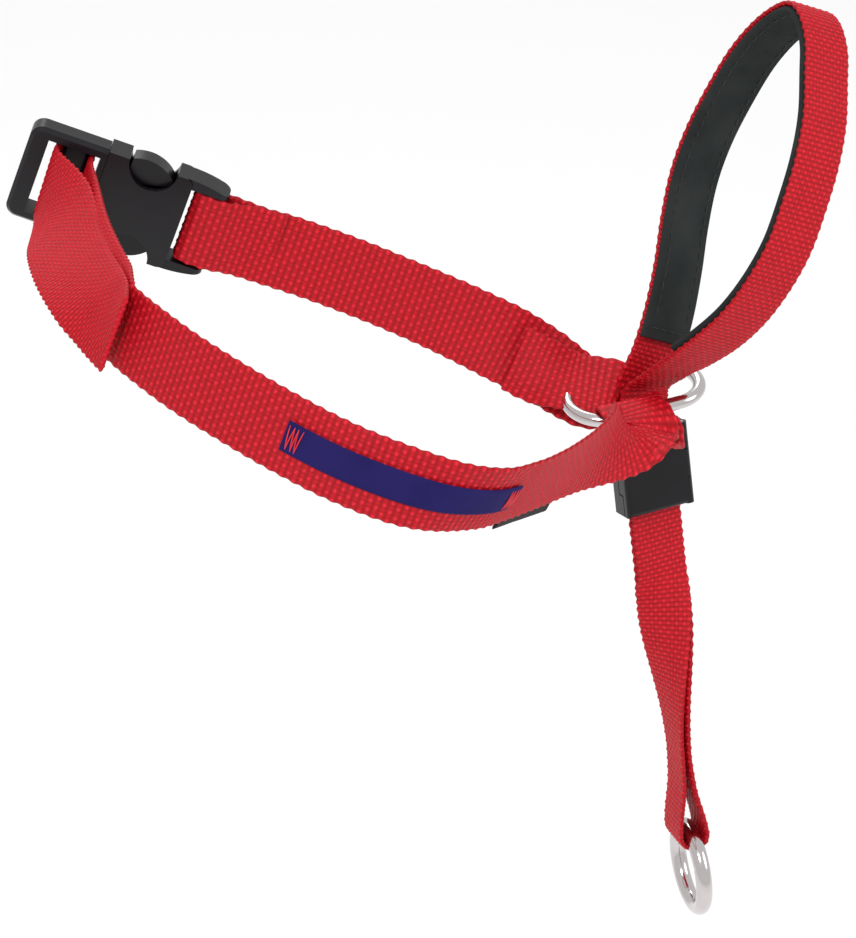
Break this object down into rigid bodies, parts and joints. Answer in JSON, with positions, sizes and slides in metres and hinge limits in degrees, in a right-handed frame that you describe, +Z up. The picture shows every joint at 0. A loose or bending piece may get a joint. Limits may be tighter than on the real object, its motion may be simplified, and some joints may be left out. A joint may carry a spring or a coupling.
{
  "type": "head halter",
  "caption": "Dog's head halter of red webbing: neck loop with side-release buckle, padded nose loop through a chin ring, sliding clamp and a control strap with a lead ring.",
  "frame": {"origin": "centre of the neck opening, on the webbing's middle line", "axes": "+X forward along the muzzle, +Y to the dog's left, +Z up, as worn with the control strap hanging"},
  "size_m": [0.1937, 0.1588, 0.2231],
  "materials": {
    "red_webbing": "matte",
    "neoprene": "matte",
    "black_plastic": "satin",
    "chrome": "polished",
    "blue_label": "matte",
    "black_tape": "matte",
    "steel_pin": "satin"
  },
  "bodies": {
    "halter": {"neck_strap_near": "red_webbing", "neck_strap_far": "red_webbing", "buckle_socket": "black_plastic", "chin_ring": "chrome", "woven_label": "blue_label", "size_tag": "black_tape"},
    "plug": {"buckle_plug": "black_plastic", "adjuster_tail": "red_webbing"},
    "upper_prong": {"prong_upper": "black_plastic"},
    "lower_prong": {"prong_lower": "black_plastic"},
    "nose_loop": {"nose_strap": "red_webbing", "nose_lining": "neoprene", "control_strap": "red_webbing"},
    "clamp": {"clamp_body": "black_plastic", "clamp_pin": "steel_pin"},
    "lid": {"clamp_lid": "black_plastic"},
    "lead_ring": {"control_ring": "chrome"}
  },
  "joints": [
    {"name": "buckle_release", "type": "slide", "parent": "halter", "child": "plug", "axis": [-0.803, 0.5, 0.3244], "range_m": [0, 0.022], "deforming": ["prong_upper", "prong_lower"]},
    {"name": "upper_prong_flex", "type": "hinge", "parent": "plug", "child": "upper_prong", "pos_m": [-0.04057, 0.06141, 0.02387], "axis": [0.5112, 0.8576, -0.0564], "range_deg": [0, 16], "stiffness_Nm_per_rad": 0.05},
    {"name": "lower_prong_flex", "type": "hinge", "parent": "plug", "child": "lower_prong", "pos_m": [-0.04486, 0.06309, 0.01065], "axis": [-0.5112, -0.8576, 0.0564], "range_deg": [0, 16], "stiffness_Nm_per_rad": 0.05},
    {"name": "nose_loop_swing", "type": "hinge", "parent": "halter", "child": "nose_loop", "pos_m": [0.06251, -0.0155, -0.0236], "axis": [1, 0, 0], "range_deg": [-8, 8], "stiffness_Nm_per_rad": 0.3},
    {"name": "clamp_slide", "type": "slide", "parent": "nose_loop", "child": "clamp", "axis": [0, -0.2504, -0.9681], "range_m": [0, 0.015]},
    {"name": "clamp_lid_hinge", "type": "hinge", "parent": "clamp", "child": "lid", "pos_m": [0.07041, -0.02056, -0.03159], "axis": [0, 0.2504, 0.9681], "range_deg": [0, 100]},
    {"name": "lead_ring_swing", "type": "hinge", "parent": "nose_loop", "child": "lead_ring", "pos_m": [0.06251, -0.04392, -0.13348], "axis": [-0.1736, -0.9534, 0.2466], "range_deg": [-80, 80]}
  ]
}
